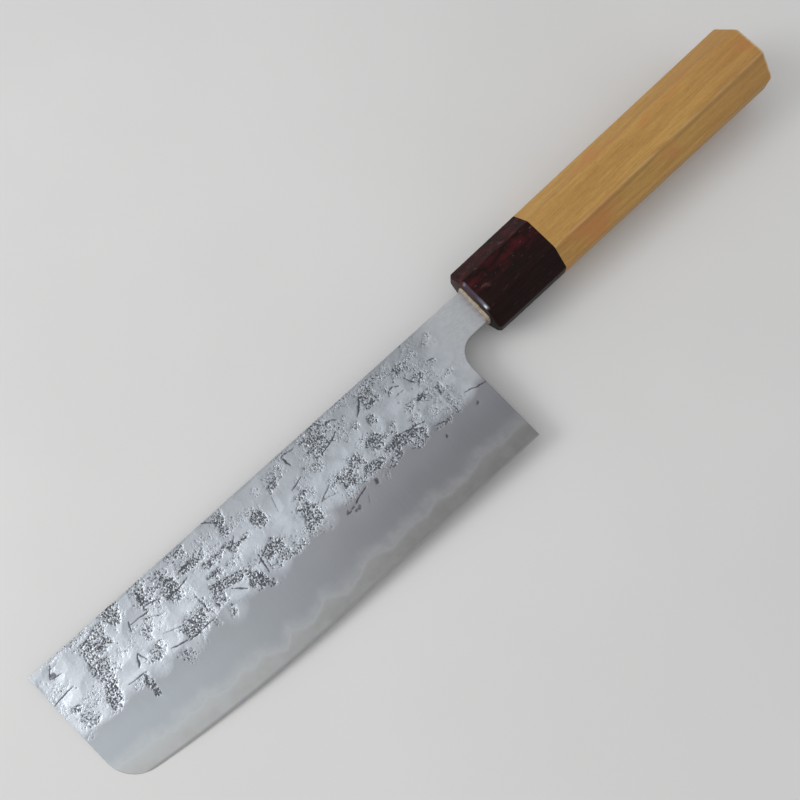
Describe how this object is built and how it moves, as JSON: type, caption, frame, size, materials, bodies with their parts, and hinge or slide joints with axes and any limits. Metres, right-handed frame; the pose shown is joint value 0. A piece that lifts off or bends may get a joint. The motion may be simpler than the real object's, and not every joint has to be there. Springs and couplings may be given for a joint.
{
  "type": "nakiri knife",
  "caption": "Straight-edged vegetable knife with a tall squared blade of three steel layers and an octagonal wooden handle behind a dark ferrule.",
  "frame": {"origin": "middle of the bounding box's bottom, with the knife lying on its left side", "axes": "+X from the blade's tip to the handle's butt, +Y from the cutting edge to the spine, +Z from the blade's left face to its right face"},
  "size_m": [0.299, 0.0562, 0.0203],
  "materials": {
    "core_steel": "fine satin along the edge band",
    "cladding_steel": "hammered and pitted above, satin ground bevel below",
    "ferrule_wood": "polished dark red-brown wood",
    "grip_wood": "oiled light wood with fine straight grain",
    "dowel_wood": "bare turned wood",
    "bedding_resin": "set adhesive",
    "seal_resin": "smooth cream resin"
  },
  "bodies": {
    "root": {"blade_core": "core_steel", "cladding_right": "cladding_steel", "cladding_left": "cladding_steel", "ferrule": "ferrule_wood", "grip": "grip_wood", "dowel": "dowel_wood", "tang_bedding": "bedding_resin", "mouth_seal": "seal_resin"}
  },
  "joints": []
}
